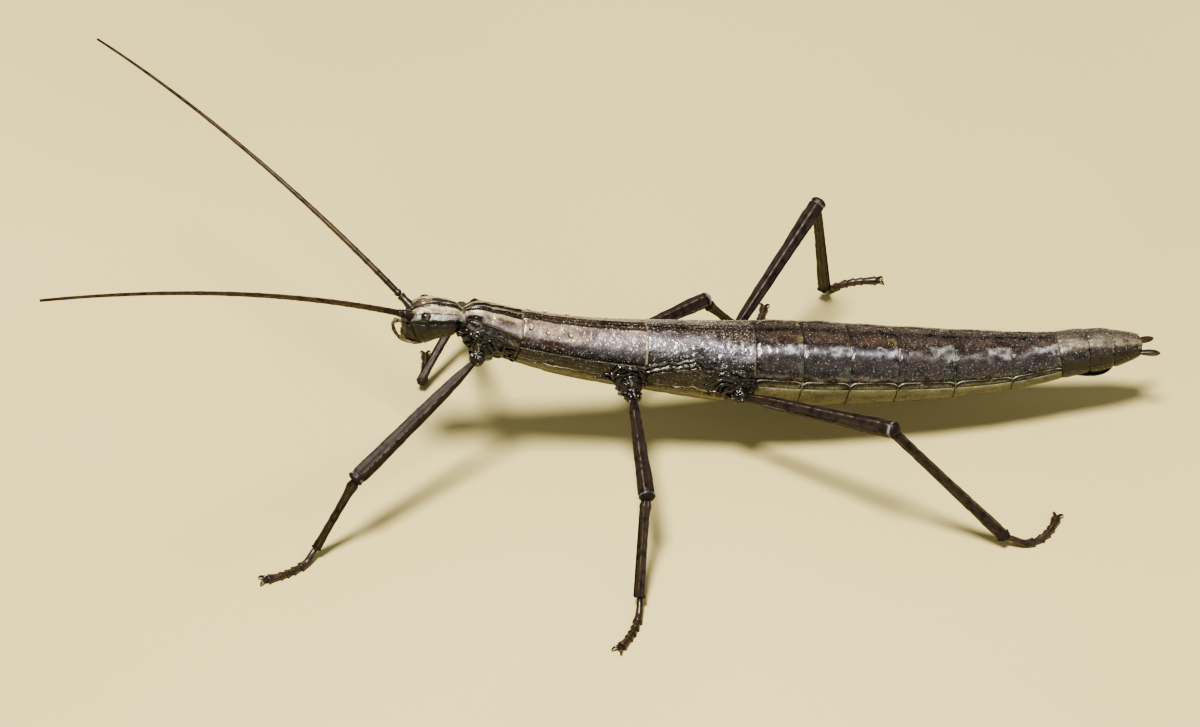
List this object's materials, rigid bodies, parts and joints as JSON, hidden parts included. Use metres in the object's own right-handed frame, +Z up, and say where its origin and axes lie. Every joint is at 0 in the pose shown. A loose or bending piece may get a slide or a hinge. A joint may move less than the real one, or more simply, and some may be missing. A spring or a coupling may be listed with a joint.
{
  "type": "two-striped walkingstick",
  "caption": "Life-size adult female two-striped walkingstick standing on its legs with long feelers spread and the front end raised.",
  "frame": {"origin": "on the floor, under the middle of the model's box", "axes": "+X from the head to the tail, the model's longest side; +Y to the insect's right; +Z up"},
  "size_m": [0.0934, 0.0532, 0.0377],
  "materials": {
    "plate": "satin chitin, silvery brown with cream and black stripes",
    "dark_plate": "satin dark chitin",
    "leg": "satin bronze-brown chitin",
    "eye": "glossy, finely faceted",
    "feeler": "matt brown with pale joints",
    "membrane": "soft matt skin between the plates",
    "granule": "pearly raised grains"
  },
  "bodies": {
    "root": {"head": "plate", "mouthparts": "dark_plate", "prothorax": "plate", "mesothorax": "plate", "metathorax": "plate", "abdomen_2": "plate", "abdomen_3": "plate", "abdomen_4": "plate", "abdomen_5": "plate", "abdomen_6": "plate", "abdomen_7": "plate", "abdomen_8": "plate", "abdomen_9": "plate", "abdomen_10": "plate", "operculum": "dark_plate", "eye_left": "eye", "antenna_scape_left": "feeler", "antenna_left_1": "feeler", "antenna_left_2": "feeler", "antenna_left_3": "feeler", "palp_left": "feeler", "cercus_left": "dark_plate", "leg_front_left_coxa": "leg", "leg_front_left_femur": "leg", "leg_front_left_tibia": "leg", "leg_front_left_tarsus": "leg", "leg_middle_left_coxa": "leg", "leg_middle_left_femur": "leg", "leg_middle_left_tibia": "leg", "leg_middle_left_tarsus": "leg", "leg_hind_left_coxa": "leg", "leg_hind_left_femur": "leg", "leg_hind_left_tibia": "leg", "leg_hind_left_tarsus": "leg", "eye_right": "eye", "antenna_scape_right": "feeler", "antenna_right_1": "feeler", "antenna_right_2": "feeler", "antenna_right_3": "feeler", "palp_right": "feeler", "cercus_right": "dark_plate", "leg_front_right_coxa": "leg", "leg_front_right_femur": "leg", "leg_front_right_tibia": "leg", "leg_front_right_tarsus": "leg", "leg_middle_right_coxa": "leg", "leg_middle_right_femur": "leg", "leg_middle_right_tibia": "leg", "leg_middle_right_tarsus": "leg", "leg_hind_right_coxa": "leg", "leg_hind_right_femur": "leg", "leg_hind_right_tibia": "leg", "leg_hind_right_tarsus": "leg"}
  },
  "joints": []
}
